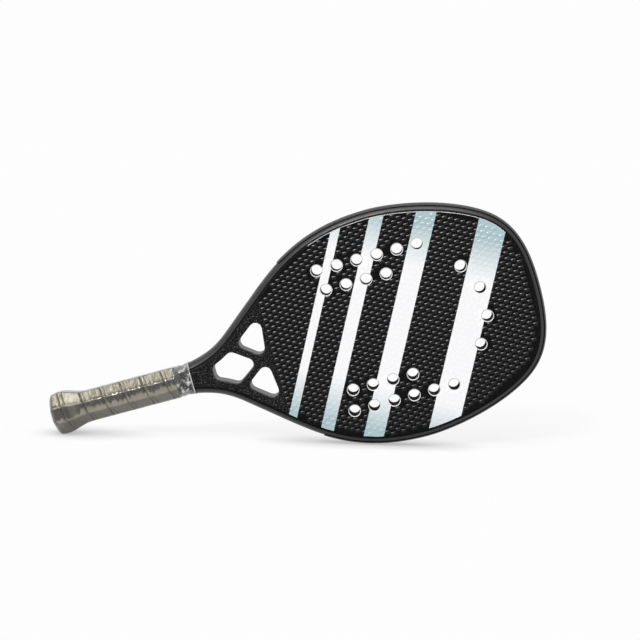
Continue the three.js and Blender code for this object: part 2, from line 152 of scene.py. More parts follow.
def on_racket(tree):
    """The place on the racket that is shaded, as its along, deep and across."""
    place = add_node(tree, "ShaderNodeTexCoord").outputs["Object"]
    return add_node(tree, "ShaderNodeMapping", {"Vector": place, "Location": RACKET.translation,
                    "Rotation": RACKET.to_euler()}, vector_type="TEXTURE")


# %% [markdown]
# ## Room and light
#
# The picture is a white studio. The room and the floor show as plain white to the camera and in
# reflections, while the floor keeps part of its own shade so that the racket's shadow stays. Plain
# white would hide the darkest part of it, where the racket touches the paper, so an Ambient
# Occlusion node dims the white there. The lights are suns, because a sun lights the whole floor
# evenly and leaves no bright pool. A wide one from above gives every upper edge a soft highlight,
# and a small one from the front gives glints.

# %% White room
ROOM_LEVEL = 0.3
SHOWN_WHITE = 0.985

world = bpy.data.worlds.new("white_studio")
world.use_nodes = True
bpy.context.scene.world = world


def seen_directly(tree):
    """1 for rays of the camera and for rays mirrored or let through by the racket, else 0."""
    path = add_node(tree, "ShaderNodeLightPath").outputs
    seen = add_node(tree, "ShaderNodeMath", {0: path["Is Camera Ray"], 1: path["Is Glossy Ray"]},
                    operation="MAXIMUM")
    return add_node(tree, "ShaderNodeMath", {0: seen, 1: path["Is Transmission Ray"]},
                    operation="MAXIMUM")


room = world.node_tree
level = add_node(room, "ShaderNodeMapRange", {"Value": seen_directly(room), "To Min": ROOM_LEVEL,
                 "To Max": SHOWN_WHITE})
set_inputs(room, room.nodes["Background"], {"Color": "#ffffff", "Strength": level})
print("the room lights with", ROOM_LEVEL, "and shows as", SHOWN_WHITE)

# %% Paper floor
FLOOR_SIZE = 60
FLOOR_PLAIN_SHARE = 0.86
CONTACT_REACH = 35 * MM
SHUT, OPEN = 0.3, 0.9  # shares of open sky
CONTACT_LEVEL = 0.55

bpy.ops.mesh.primitive_plane_add(size=FLOOR_SIZE)
floor = bpy.context.object
floor.name = "floor"
paper = bpy.data.materials.new("white_paper")
paper.use_nodes = True
tree = paper.node_tree
tree.nodes.clear()
shade = add_node(tree, "ShaderNodeBsdfDiffuse", {"Color": "#f6f6f7"})
sky = add_node(tree, "ShaderNodeAmbientOcclusion", {"Distance": CONTACT_REACH}, samples=8)
contact = add_node(tree, "ShaderNodeMapRange", {"Value": sky.outputs["AO"],
                   "From Min": SHUT, "From Max": OPEN, "To Min": CONTACT_LEVEL})
plain = add_node(tree, "ShaderNodeEmission", {"Color": "#ffffff", "Strength": contact})
share = add_node(tree, "ShaderNodeMath", {0: seen_directly(tree), 1: FLOOR_PLAIN_SHARE},
                 operation="MULTIPLY")
both = add_node(tree, "ShaderNodeMixShader", {0: share, 1: shade, 2: plain})
add_node(tree, "ShaderNodeOutputMaterial", {"Surface": both})
floor.data.materials.append(paper)
print("the floor is", FLOOR_SIZE, "m wide")


# %% Lights
def sun(name, bearing, height, spread, strength):
    """A round soft light far away, at a bearing to the right of the camera's side and a height."""
    bpy.ops.object.light_add(type="SUN", rotation=(pi / 2 - radians(height), 0, radians(bearing)))
    lamp = bpy.context.object
    lamp.name = name
    lamp.data.angle = radians(spread)
    lamp.data.energy = strength
    print(name, "shines with", strength)


sun("wide_top_light", bearing=-8, height=64, spread=44, strength=1.35)
sun("small_front_light", bearing=-27, height=42, spread=14, strength=1.35)

# %% [markdown]
# ## Helpers for modelling
#
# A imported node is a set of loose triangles. To give it a finer shape, a copy is joined up, its
# triangles are paired into quads, and the copy is then worked on as if by hand. The node itself
# stays as it is, hidden, and the copy stands for it.

# %% Selecting and copying
JOIN_DISTANCE = 0.002 * MM
QUAD_BEND, QUAD_SKEW = radians(40), radians(60)


def select_only(piece):
    """Selects one object and makes it active."""
    bpy.ops.object.select_all(action="DESELECT")
    piece.select_set(True)
    bpy.context.view_layer.objects.active = piece


def copy_of(node, name):
    """A joined-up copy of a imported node, ready for work."""
    piece = bpy.data.objects.new(name, frame["nodes"][node].data.copy())
    bpy.context.collection.objects.link(piece)
    piece.data.name = name
    piece.data.materials.clear()
    select_only(piece)
    bpy.ops.mesh.customdata_custom_splitnormals_clear()
    bpy.ops.object.mode_set(mode="EDIT")
    bpy.ops.mesh.select_all(action="SELECT")
    bpy.ops.mesh.remove_doubles(threshold=JOIN_DISTANCE)
    bpy.ops.mesh.tris_convert_to_quads(face_threshold=QUAD_BEND, shape_threshold=QUAD_SKEW)
    bpy.ops.object.mode_set(mode="OBJECT")
    return piece


# %% Shaping
SHARP_TURN = 50  # degrees


def modify(piece, kind, **settings):
    """Adds a modifier and applies it."""
    select_only(piece)
    modifier = piece.modifiers.new(kind.lower(), kind)
    for name, setting in settings.items():
        setattr(modifier, name, setting)
    bpy.ops.object.modifier_apply(modifier=modifier.name)


def select_sharp(piece):
    """Selects the sharp edges of a piece, and stays in edit mode."""
    select_only(piece)
    bpy.ops.object.mode_set(mode="EDIT")
    bpy.ops.mesh.select_mode(type="EDGE")
    bpy.ops.mesh.select_all(action="DESELECT")
    bpy.ops.mesh.edges_select_sharp(sharpness=radians(SHARP_TURN))


def crease_sharp(piece):
    """Holds the sharp edges of a piece when it is subdivided."""
    select_sharp(piece)
    bpy.ops.transform.edge_crease(value=1)
    bpy.ops.object.mode_set(mode="OBJECT")


def chamfer(piece, wanted, width, **settings):
    """Cuts the sharp edges whose two ends pass a test."""
    select_sharp(piece)
    bpy.ops.object.mode_set(mode="OBJECT")
    for edge in piece.data.edges:
        ends = [piece.data.vertices[number].co for number in edge.vertices]
        edge.select = edge.select and all(wanted(end) for end in ends)
    bpy.ops.object.mode_set(mode="EDIT")
    bpy.ops.mesh.bevel(offset=width, **settings)
    bpy.ops.object.mode_set(mode="OBJECT")


# %% Finishing
def smooth(piece, angle):
    """Shades a piece smooth, except over edges sharper than an angle in degrees."""
    select_only(piece)
    bpy.ops.object.shade_smooth_by_angle(angle=radians(angle))


def finish(piece, nodes, slot, *materials):
    """Gives a piece its materials and its place in the racket."""
    piece.data.materials.clear()
    for material in materials:
        piece.data.materials.append(material)
    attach(piece, "root")
    if nodes:
        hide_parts(*nodes)
    print(piece.name, "has", len(piece.data.polygons), "faces")


# %% [markdown]
# ## Carbon frame
#
# The frame is a tube of carbon cloth and resin, moulded hot and then lacquered. The mould leaves it
# smooth, and the lacquer leaves a satin gloss with a faint ripple, which the eye sees as a soft
# line of light along the rim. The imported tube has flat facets, so its copy is subdivided, and the
# corners of the ledge that carries the face sheets are held sharp by creases. Black resin fills the
# joint beside the sheets. It is a second material, on the faces that lie nearly as high as they do.

# %% Satin carbon
RIPPLE_SIZE, RIPPLE_HIGH = 9 * MM, 0.2 * MM
NOISE_LOW, NOISE_HIGH = 0.3, 0.7
GLOSSIEST, DULLEST = 0.3, 0.44

satin_carbon, tree, shader = new_material("satin_lacquered_carbon", "#1b1b1c", 0.36)
ripple = add_node(tree, "ShaderNodeTexNoise", {"Vector": on_racket(tree),
                  "Scale": 1 / RIPPLE_SIZE, "Detail": 2})
gloss = add_node(tree, "ShaderNodeMapRange", {"Value": ripple, "From Min": NOISE_LOW,
                 "From Max": NOISE_HIGH, "To Min": GLOSSIEST, "To Max": DULLEST})
waves = add_node(tree, "ShaderNodeBump", {"Height": ripple, "Distance": RIPPLE_HIGH,
                 "Strength": 0.3})
set_inputs(tree, shader, {"Roughness": gloss, "Normal": waves})

# %% Black resin
RESIN_PIT, PIT_DEEP = 1 * MM, 0.05 * MM

black_resin, tree, shader = new_material("black_epoxy_resin", "#060606", 0.6,
                                         Specular_IOR_Level=0.1)
pits = add_node(tree, "ShaderNodeTexNoise", {"Vector": on_racket(tree), "Scale": 1 / RESIN_PIT})
uneven = add_node(tree, "ShaderNodeBump", {"Height": pits, "Distance": PIT_DEEP})
set_inputs(tree, shader, {"Normal": uneven})

# %% Frame
JOINT_DEPTH = 0.4 * MM

carbon_frame = copy_of("frame_tube", "carbon_frame")
crease_sharp(carbon_frame)
modify(carbon_frame, "SUBSURF", levels=2, render_levels=2)
smooth(carbon_frame, SHARP_TURN)
finish(carbon_frame, ["frame_tube"], "frame_laminate", satin_carbon, black_resin)
for face in carbon_frame.data.polygons:
    face.material_index = int(abs(face.center.y) > HALF_DEPTH - JOINT_DEPTH)

# %% [markdown]
# ## Guard strip
#
# The outside of the head carries a thin strip against knocks. It is as black as the frame but
# duller, and small scuffs break up its gloss. Its edges are rolled on round, so its copy is
# subdivided without creases.

# %% Guard strip
SCUFF_SIZE = 2.5 * MM
UNSCUFFED, SCUFFED = 0.38, 0.55

guard_skin, tree, shader = new_material("moulded_polyurethane", "#262627", 0.45)
scuffs = add_node(tree, "ShaderNodeTexNoise", {"Vector": on_racket(tree),
                  "Scale": 1 / SCUFF_SIZE, "Detail": 3})
dulling = add_node(tree, "ShaderNodeMapRange", {"Value": scuffs, "From Min": NOISE_LOW,
                   "From Max": NOISE_HIGH, "To Min": UNSCUFFED, "To Max": SCUFFED})
set_inputs(tree, shader, {"Roughness": dulling})

guard = copy_of("edge_guard", "guard_strip")
modify(guard, "SUBSURF", levels=2, render_levels=2)
smooth(guard, SHARP_TURN)
finish(guard, ["edge_guard"], "guard_strip", guard_skin)

# %% [markdown]
# ## Print of the face
#
# A face sheet is black laminate with a printed pattern: pale bands of growing width, which turn to
# blue-grey near the rim. A colour ramp with hard steps makes the bands from the distance beside the
# first one. The black absorbs nearly all light, and in the throat, where it is smooth, it carries
# fine pale specks, which are painted glints of its fine grain. The white ink is so thick that it
# levels the relief below it, so there the shading takes the flat direction of the whole face.

# %% Band pattern
BAND_ANGLE = radians(62)
FIRST_BAND, LAST_BAND = -80 * MM, 86 * MM
BAND_SHARES = [(0, 0.052), (0.205, 0.283), (0.464, 0.579), (0.832, 1)]
RAMP_END = 0.002
ACROSS_BANDS = (sin(BAND_ANGLE), 0, -cos(BAND_ANGLE))


def band_steps(tree, centred):
    """1 in the bands and 0 between them."""
    beside = add_node(tree, "ShaderNodeVectorMath", {0: centred, 1: ACROSS_BANDS},
                      operation="DOT_PRODUCT").outputs["Value"]
    share = add_node(tree, "ShaderNodeMapRange", {"Value": beside, "From Min": FIRST_BAND,
                     "From Max": LAST_BAND}, clamp=False)
    steps = [(0, "#000000")]
    for start, end in BAND_SHARES:
        steps += [(max(start, RAMP_END), "#ffffff"), (min(end, 1 - RAMP_END), "#000000")]
    bands = add_node(tree, "ShaderNodeValToRGB", {"Fac": share}, stops=steps)
    bands.color_ramp.interpolation = "CONSTANT"
    return bands


# %% Ink of the bands
FADE_START, FADE_END = 62 * MM, 104 * MM
WHITE_INK, BLUE_INK = "#f6f6f7", "#abc1c5"
ALONG_BANDS = (cos(BAND_ANGLE), 0, sin(BAND_ANGLE))


def fading_ink(tree, centred):
    """How far the ink has turned blue, and its colour."""
    lengthwise = add_node(tree, "ShaderNodeVectorMath", {0: centred, 1: ALONG_BANDS},
                          operation="DOT_PRODUCT").outputs["Value"]
    from_middle = add_node(tree, "ShaderNodeMath", {0: lengthwise}, operation="ABSOLUTE")
    fade = add_node(tree, "ShaderNodeMapRange", {"Value": from_middle, "From Min": FADE_START,
                    "From Max": FADE_END})
    ink = add_node(tree, "ShaderNodeMix", {"Factor": fade, 6: WHITE_INK, 7: BLUE_INK},
                   data_type="RGBA").outputs[2]
    return fade, ink


# %% Black lacquer
BLACK_LACQUER = "#060607"
TEXTURE_START = 229 * MM
TEXTURE_BLEND = 3 * MM
SPECK_SIZE = 1.1 * MM
GLINT_SPECK_STOPS = [(0.47, BLACK_LACQUER), (0.61, "#262627"), (0.73, "#848484")]


def beyond_throat(tree, place):
    """0 in the throat and 1 on the head, where the face is embossed."""
    along = add_node(tree, "ShaderNodeSeparateXYZ", {0: place})
    return add_node(tree, "ShaderNodeMapRange", {"Value": along,
                    "From Min": TEXTURE_START - TEXTURE_BLEND,
                    "From Max": TEXTURE_START + TEXTURE_BLEND})


def black_with_painted_glints(tree, place):
    """Black, with pale specks in the throat as painted glints."""
    specks = add_node(tree, "ShaderNodeTexNoise", {"Vector": place, "Scale": 1 / SPECK_SIZE,
                      "Detail": 1})
    speckled = add_node(tree, "ShaderNodeValToRGB", {"Fac": specks}, stops=GLINT_SPECK_STOPS)
    return add_node(tree, "ShaderNodeMix", {"Factor": beyond_throat(tree, place), 6: speckled,
                    7: BLACK_LACQUER}, data_type="RGBA").outputs[2]


# %% Printed laminate
def printed_skin(name, roughness, specular):
    """Printed laminate with a given gloss."""
    material, tree, shader = new_material(name, BLACK_LACQUER, roughness,
                                          Specular_IOR_Level=specular)
    place = on_racket(tree)
    centred = add_node(tree, "ShaderNodeVectorMath", {0: place, 1: (MIDDLE_ALONG, 0, 0)},
                       operation="SUBTRACT")
    bands = band_steps(tree, centred)
    fade, ink = fading_ink(tree, centred)
    black = black_with_painted_glints(tree, place)
    printed = add_node(tree, "ShaderNodeMix", {"Factor": bands, 6: black, 7: ink},
                       data_type="RGBA").outputs[2]

    relief = add_node(tree, "ShaderNodeNewGeometry").outputs["Normal"]
    deep = add_node(tree, "ShaderNodeVectorMath", {0: place, 1: DEEP}, operation="MULTIPLY")
    flat = add_node(tree, "ShaderNodeVectorMath", {0: deep}, operation="SIGN")
    level = add_node(tree, "ShaderNodeMath", {0: bands, 1: fade}, operation="SUBTRACT",
                     use_clamp=True)
    shaded = add_node(tree, "ShaderNodeMix", {"Factor": level, 4: relief, 5: flat},
                      data_type="VECTOR").outputs[1]
    set_inputs(tree, shader, {"Base Color": printed, "Normal": shaded})
    return material


flat_print = printed_skin("matt_printed_laminate", roughness=0.5, specular=0.08)
raised_print = printed_skin("lacquered_printed_laminate", roughness=0.2, specular=0.25)

# %% [markdown]
# ## Edges of the laminate
#
# Where a hole is countersunk, the cut has gone through the lacquer and shows the pale laminate
# as a thin light line. Along the outline the chamfer stays pale only where it looks up, which is a
# painted highlight along the top of the head, and is black lacquer where it looks down, which is
# painted shade. The throat stays black. The bare edge is a sanded surface, and the lacquer has a
# gloss like that of the frame, with the same ripple.

# %% Bare edge
bare_edge, tree, shader = new_material("bare_sanded_laminate", "#dededc", 0.5)
edge_colour = add_node(tree, "ShaderNodeMix", {"Factor": beyond_throat(tree, on_racket(tree)),
                       6: "#141415", 7: "#dededc"}, data_type="RGBA").outputs[2]
set_inputs(tree, shader, {"Base Color": edge_colour})

# %% Lacquered edge
lacquered_rim, tree, shader = new_material("black_lacquered_laminate", "#1b1b1c", 0.3,
                                           Specular_IOR_Level=1.0)
drips = add_node(tree, "ShaderNodeTexNoise", {"Vector": on_racket(tree),
                 "Scale": 1 / RIPPLE_SIZE})
uneven = add_node(tree, "ShaderNodeBump", {"Height": drips, "Distance": RIPPLE_HIGH,
                  "Strength": 0.3})
set_inputs(tree, shader, {"Normal": uneven})

# %% [markdown]
# ## Face sheets
#
# Each sheet has twenty-four drilled air holes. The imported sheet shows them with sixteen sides, so
# its copy is drilled again with a rounder drill, a hair wider, and its outer edges then get the
# small chamfer of a countersink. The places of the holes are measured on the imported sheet: its
# walls fall into islands, and the small ones are holes. The drill leaves splinters, so the flat
# faces are joined again before the chamfer is cut. The chamfer keeps an even width instead of
# sliding along the next edge, because some of those edges are very short.

# %% Find the air holes
LARGEST_HOLE = 14 * MM
UPRIGHT = 0.1


def wall_islands(mesh):
    """The corner places of a flat sheet's side walls, grouped by the walls that hang together."""
    group = list(range(len(mesh.vertices)))

    def first(corner):
        while group[corner] != corner:
            corner = group[corner]
        return corner

    for wall in mesh.polygons:
        if abs(wall.normal.y) < UPRIGHT:
            for corner in wall.vertices:
                group[first(corner)] = first(wall.vertices[0])
    islands = {}
    for vertex in mesh.vertices:
        islands.setdefault(first(vertex.index), []).append(TO_RACKET @ vertex.co)
    return islands.values()


front_face = copy_of("front_face_sheet", "front_face")
hole_places = []
for island in wall_islands(front_face.data):
    low = Vector([min(place[axis] for place in island) for axis in range(3)])
    high = Vector([max(place[axis] for place in island) for axis in range(3)])
    if max(high - low) < LARGEST_HOLE:
        hole_places.append(RACKET @ Vector(((low.x + high.x) / 2, 0, (low.z + high.z) / 2)))
print("air holes:", len(hole_places))

# %% Drill
DRILL_RADIUS, DRILL_SIDES = 5.45 * MM, 48

bpy.ops.mesh.primitive_cylinder_add(vertices=DRILL_SIDES, radius=DRILL_RADIUS, depth=4 * HALF_DEPTH,
                                    location=hole_places[0], rotation=(pi / 2, 0, 0))
drill = bpy.context.object
bpy.ops.object.transform_apply()
bpy.ops.object.mode_set(mode="EDIT")
for before, after in zip(hole_places, hole_places[1:]):
    bpy.ops.mesh.duplicate_move(TRANSFORM_OT_translate={"value": after - before})
bpy.ops.object.mode_set(mode="OBJECT")
print("the drill has", len(drill.data.polygons), "faces")

# %% Which edges are cut and lacquered
SPLINTER = 0.15 * MM
PALE_EDGE_FACING_UP = 0.56
BARE, LACQUERED = 1, 2
IN_FACE = Vector((1, 0, 1))


def on_outside(corner):
    """Whether a corner lies on the front or the back of the racket."""
    return abs(corner.y) > HALF_DEPTH - SPLINTER


def paint_rim_highlight(sheet):
    """Blackens bare outline and throat edges unless they look up: painted highlight and shade."""
    for facet in sheet.data.polygons:
        beside = min(((facet.center - hole) * IN_FACE).length for hole in hole_places)
        # Pale where the edge looks up, black where it looks down: painted highlight and painted
        # shade.
        painted = beside > LARGEST_HOLE / 2 and facet.normal.z < PALE_EDGE_FACING_UP
        if facet.material_index == BARE and painted:
            facet.material_index = LACQUERED


# %% Drilled and chamfered sheets
CHAMFER = 0.8 * MM
FLAT_TURN, SOFT_TURN = 0.5, 40  # degrees

back_face = copy_of("back_face_sheet", "back_face")
for face, node in ((front_face, "front_face_sheet"), (back_face, "back_face_sheet")):
    finish(face, [node], "face_laminate", flat_print, bare_edge, lacquered_rim)
    modify(face, "BOOLEAN", operation="DIFFERENCE", object=drill, solver="EXACT")
    modify(face, "WELD", merge_threshold=SPLINTER)
    modify(face, "DECIMATE", decimate_type="DISSOLVE", angle_limit=radians(FLAT_TURN))
    chamfer(face, on_outside, CHAMFER, material=BARE, loop_slide=False)
    paint_rim_highlight(face)
    smooth(face, SOFT_TURN)
    print(face.name, "has", len(face.data.polygons), "faces once drilled and chamfered")

# %% [markdown]
# ## Embossed grip of the face
#
# The head's faces are covered with small raised pads, which give the ball spin. They lie in columns
# across the racket, each column shifted by half a step. One pad is modelled by hand from a low
# block: its corners are cut, and its top is drawn in to a narrow ridge, whose upper side catches
# the light as a short bright dash. Three Array modifiers lay the pads out. Those that would reach
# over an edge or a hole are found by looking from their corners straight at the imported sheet, and
# deleted. Their lacquer is glossier than the black between them, so the pits stay dark.

# %% One pad
PAD_LONG, PAD_WIDE, PAD_HIGH, PAD_SUNK = 5.2 * MM, 3.6 * MM, 0.46 * MM, 0.1 * MM
PAD_CORNER = 0.3 * MM
RIDGE_SHARES = (0.94, 1, 0.48)
STRAIGHT = 0.99


def select_facing(piece, direction):
    """Selects the faces of a piece that look in a direction, and goes into edit mode."""
    select_only(piece)
    bpy.ops.object.mode_set(mode="EDIT")
    bpy.ops.mesh.select_mode(type="FACE")
    bpy.ops.mesh.select_all(action="DESELECT")
    bpy.ops.object.mode_set(mode="OBJECT")
    for face in piece.data.polygons:
        face.select = face.normal.dot(direction) > STRAIGHT
    bpy.ops.object.mode_set(mode="EDIT")


def model_pad(name, outwards):
    """One pad in the middle of the racket's start, sunk a little into the face."""
    bpy.ops.mesh.primitive_cube_add(size=1)
    pad = bpy.context.object
    pad.name = pad.data.name = name
    bpy.ops.object.mode_set(mode="EDIT")
    bpy.ops.transform.resize(value=(PAD_LONG, PAD_HIGH, PAD_WIDE), center_override=(0, 0, 0))
    bpy.ops.transform.translate(value=outwards * (HALF_DEPTH - PAD_SUNK + PAD_HIGH / 2))
    bpy.ops.mesh.select_mode(type="EDGE")
    bpy.ops.mesh.select_all(action="DESELECT")
    bpy.ops.object.mode_set(mode="OBJECT")
    corners = pad.data.vertices
    for edge in pad.data.edges:
        start, end = [corners[number].co for number in edge.vertices]
        edge.select = abs((end - start).normalized().y) > STRAIGHT
    bpy.ops.object.mode_set(mode="EDIT")
    bpy.ops.mesh.bevel(offset=PAD_CORNER)
    bpy.ops.object.mode_set(mode="OBJECT")
    select_facing(pad, outwards)
    bpy.ops.transform.resize(value=RIDGE_SHARES, center_override=(0, 0, 0))
    bpy.ops.object.mode_set(mode="OBJECT")
    return pad


# %% Columns of pads
PAD_STEP, COLUMN_STEP = 5.75 * MM, 5.4 * MM
HEAD_HALF_WIDTH = 112 * MM
FACE_END = 498 * MM
COLUMN_PAIRS = int((FACE_END - TEXTURE_START) / (2 * COLUMN_STEP))
PADS_ACROSS = int(2 * HEAD_HALF_WIDTH / PAD_STEP)


def repeat_pad(pad):
    """Lays copies of the pad over the whole head, half a step further in every second column."""
    for count, step in ((2, (COLUMN_STEP, 0, PAD_STEP / 2)),
                        (COLUMN_PAIRS, (2 * COLUMN_STEP, 0, 0)),
                        (PADS_ACROSS, (0, 0, PAD_STEP))):
        modify(pad, "ARRAY", count=count, use_relative_offset=False, use_constant_offset=True,
               constant_offset_displace=step)
    first_place = Vector((TEXTURE_START + PAD_LONG / 2, 0, -HEAD_HALF_WIDTH))
    pad.data.transform(RACKET @ Matrix.Translation(first_place))


# %% Pads that reach over an edge
CLEAR_SHARE = 1.2
EYE_HEIGHT, SIGHT = 2 * HALF_DEPTH, 1.5 * HALF_DEPTH


def lies_over(corners, sheet, outwards):
    """Whether every corner lies over the sheet, seen from outside."""
    starts = [Vector((corner.x, 0, corner.z)) + EYE_HEIGHT * outwards for corner in corners]
    return all(sheet.ray_cast(start, -outwards, SIGHT)[0] for start in starts)


def delete_overhanging(pads, count, sheet, outwards):
    """Deletes each pad, of a count of corners, that reaches over an edge of the sheet."""
    select_facing(pads, Vector())
    bpy.ops.mesh.select_mode(type="VERT")
    bpy.ops.object.mode_set(mode="OBJECT")
    vertices = pads.data.vertices
    for start in range(0, len(vertices), count):
        corners = [vertex.co for vertex in vertices[start : start + count]]
        middle = sum(corners, Vector()) / count
        if not lies_over([middle.lerp(corner, CLEAR_SHARE) for corner in corners], sheet, outwards):
            for vertex in vertices[start : start + count]:
                vertex.select = True
    bpy.ops.object.mode_set(mode="EDIT")
    bpy.ops.mesh.delete(type="VERT")
    bpy.ops.object.mode_set(mode="OBJECT")


# %% Lay out the pads
PAD_TURN = 20  # degrees

for name, node, outwards in (("front_pads", "front_face_sheet", Vector((0, -1, 0))),
                             ("back_pads", "back_face_sheet", Vector((0, 1, 0)))):
    pads = model_pad(name, outwards)
    count = len(pads.data.vertices)
    repeat_pad(pads)
    mesh = frame["nodes"][node].data
    sheet = BVHTree.FromPolygons([vertex.co for vertex in mesh.vertices],
                                 [face.vertices for face in mesh.polygons])
    delete_overhanging(pads, count, sheet, outwards)
    smooth(pads, PAD_TURN)
    finish(pads, [], "face_laminate", raised_print)
    print(name, "has", len(pads.data.vertices) // count, "pads")

# %% [markdown]
# ## Foam core
#
# The core is black closed-cell foam, cut from a block, so the walls of the air holes show its cells
# as fine pores. It is drilled with the same drill as the sheets, so that the holes run evenly
# through. Its dark wall shows as a crescent at the lower side of every hole.

# %% Foam core
FOAM_CELL, PORE_DEEP = 0.9 * MM, 0.15 * MM

foam, tree, shader = new_material("closed_cell_foam", "#0d0d0e", 0.9, Specular_IOR_Level=0.15)
cells = add_node(tree, "ShaderNodeTexVoronoi", {"Vector": on_racket(tree), "Scale": 1 / FOAM_CELL})
pores = add_node(tree, "ShaderNodeBump", {"Height": cells.outputs["Distance"],
                 "Distance": PORE_DEEP, "Strength": 0.6})
set_inputs(tree, shader, {"Normal": pores})

core = copy_of("foam_core", "drilled_core")
modify(core, "BOOLEAN", operation="DIFFERENCE", object=drill, solver="EXACT")
smooth(core, SOFT_TURN)
finish(core, ["foam_core"], "core_foam", foam)
bpy.data.objects.remove(drill)

# %% [markdown]
# ## Throat
#
# The ribs of the throat are moulded with the frame, and the walls of their three openings have its
# satin black without lacquer, so they look greyer and have the grain that a mould leaves. The real
# grain is too fine to show, so it is drawn coarser. The copy only needs its corners shaded round.

# %% Throat ribs
MOULD_GRAIN, GRAIN_HIGH = 1.5 * MM, 0.1 * MM


def moulded_skin(name, base, roughness):
    """A moulded surface with its fine grain."""
    material, tree, shader = new_material(name, base, roughness)
    grain = add_node(tree, "ShaderNodeTexNoise", {"Vector": on_racket(tree),
                     "Scale": 1 / MOULD_GRAIN})
    matting = add_node(tree, "ShaderNodeBump", {"Height": grain, "Distance": GRAIN_HIGH,
                       "Strength": 0.3})
    set_inputs(tree, shader, {"Normal": matting})
    return material


rib_skin = moulded_skin("moulded_carbon_resin", "#3d3d3e", 0.42)
ribs = copy_of("throat_bridge", "throat_ribs")
smooth(ribs, SOFT_TURN)
finish(ribs, ["throat_bridge"], "throat_laminate", rib_skin)

# %% [markdown]
# ## Handle shells, butt cap and collar
#
# Under the grip lie two moulded shells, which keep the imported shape. The butt cap and the rubber
# collar show through the clear film, so their copies get softly shaded corners. The rubber has no
# grain, but a little dust that makes its dullness uneven.

# %% Shells and butt cap
CAP_TURN = 35  # degrees

shell_plastic = moulded_skin("moulded_abs", "#2b2b28", 0.5)
for node in ("handle_half_front", "handle_half_back"):
    frame["nodes"][node].material_slots[0].material = shell_plastic

cap = copy_of("butt_cap", "butt_cap_smooth")
smooth(cap, CAP_TURN)
finish(cap, ["butt_cap"], "cap_plastic", shell_plastic)

# %% Rubber collar
CLEAN, DUSTY = 0.6, 0.8

collar_rubber, tree, shader = new_material("black_rubber", "#1c1c1b", 0.7)
dust = add_node(tree, "ShaderNodeTexNoise", {"Vector": on_racket(tree), "Scale": 1 / MOULD_GRAIN})
dustiness = add_node(tree, "ShaderNodeMapRange", {"Value": dust, "To Min": CLEAN,
                     "To Max": DUSTY})
set_inputs(tree, shader, {"Roughness": dustiness})
collar = copy_of("grip_collar", "rubber_collar")
smooth(collar, CAP_TURN)
finish(collar, ["grip_collar"], "collar_rubber", collar_rubber)

# %% [markdown]
# ## Grip tape
#
# The tape is soft polyurethane, wound in a helix, so one number says where a place lies across its
# turn: the place along, in turns, less the angle round the handle. A colour ramp on that number
# paints a dark line on the seam and a second one beside it: painted shade in the seam and under
# the step of the turn beside it. These lines and the streaks of the brushed surface are strong on
# the upper half and fade out below, and a line of painted shade runs along the lower edge of both
# upper bevels, fading up each bevel. The marks of the tape and of the film over it are noises drawn
# out round the handle, as both are pulled tight that way.

# %% Place across the winding
TAPE_PITCH, TAPE_START = 21 * MM, 5.5 * MM
FIRST_CORNER = radians(20)
SQUEEZE = (1, 0.2, 0.2)


def across_turn(tree, place):
    """Place across the turn of tape, from 0 at its laid edge to 1 at its free edge."""
    along, deep, height = add_node(tree, "ShaderNodeSeparateXYZ", {0: place}).outputs
    angle = add_node(tree, "ShaderNodeMath", {0: height, 1: deep}, operation="ARCTAN2")
    turns_round = add_node(tree, "ShaderNodeMapRange", {"Value": angle, "From Min": FIRST_CORNER,
                           "From Max": FIRST_CORNER + 2 * pi}, clamp=False)
    turns_along = add_node(tree, "ShaderNodeMapRange", {"Value": along, "From Min": TAPE_START,
                           "From Max": TAPE_START + TAPE_PITCH}, clamp=False)
    left = add_node(tree, "ShaderNodeMath", {0: turns_along, 1: turns_round}, operation="SUBTRACT")
    return add_node(tree, "ShaderNodeMath", {0: left}, operation="FRACT")


def marks_round_handle(tree, place, size, detail=2):
    """Marks that have a size along the handle and are drawn out round it."""
    squeezed = add_node(tree, "ShaderNodeVectorMath", {0: place, 1: SQUEEZE}, operation="MULTIPLY")
    return add_node(tree, "ShaderNodeTexNoise", {"Vector": squeezed, "Scale": 1 / size,
                    "Detail": detail})


# %% Tape painted lighter on its upper half
STREAK_SIZE = 1.6 * MM
FAINT_STREAK, FULL_STREAK = 0.4, 0.65
FADED_BELOW, FULL_ABOVE = -4 * MM, 5 * MM
FLARE_START, FLARE_MIDDLE = 34 * MM, 24 * MM

tape_skin, tree, shader = new_material("polyurethane_grip_tape", "#968f81", 0.5,
                                       Specular_IOR_Level=0.1)
place = on_racket(tree)
along, deep, height = add_node(tree, "ShaderNodeSeparateXYZ", {0: place}).outputs
streaks = marks_round_handle(tree, place, STREAK_SIZE)
# The upper half is painted lighter, a painted light; the tape is also lighter towards the butt.
upper_half = add_node(tree, "ShaderNodeMapRange", {"Value": height, "From Min": FADED_BELOW,
                      "From Max": FULL_ABOVE})
at_butt = add_node(tree, "ShaderNodeMapRange", {"Value": along, "From Min": FLARE_START,
                   "From Max": FLARE_MIDDLE})
upper = add_node(tree, "ShaderNodeMix", {"Factor": at_butt, 6: "#8a8373", 7: "#a39c88"},
                 data_type="RGBA").outputs[2]
painted_light_tone = add_node(tree, "ShaderNodeMix", {"Factor": upper_half, 6: "#7d766b", 7: upper},
                data_type="RGBA").outputs[2]
brushed = add_node(tree, "ShaderNodeMapRange", {"Value": streaks, "From Min": FAINT_STREAK,
                   "From Max": FULL_STREAK, "To Max": upper_half})
streaked = add_node(tree, "ShaderNodeMix", {"Factor": brushed, 6: painted_light_tone, 7: "#5a5443"},
                    data_type="RGBA").outputs[2]

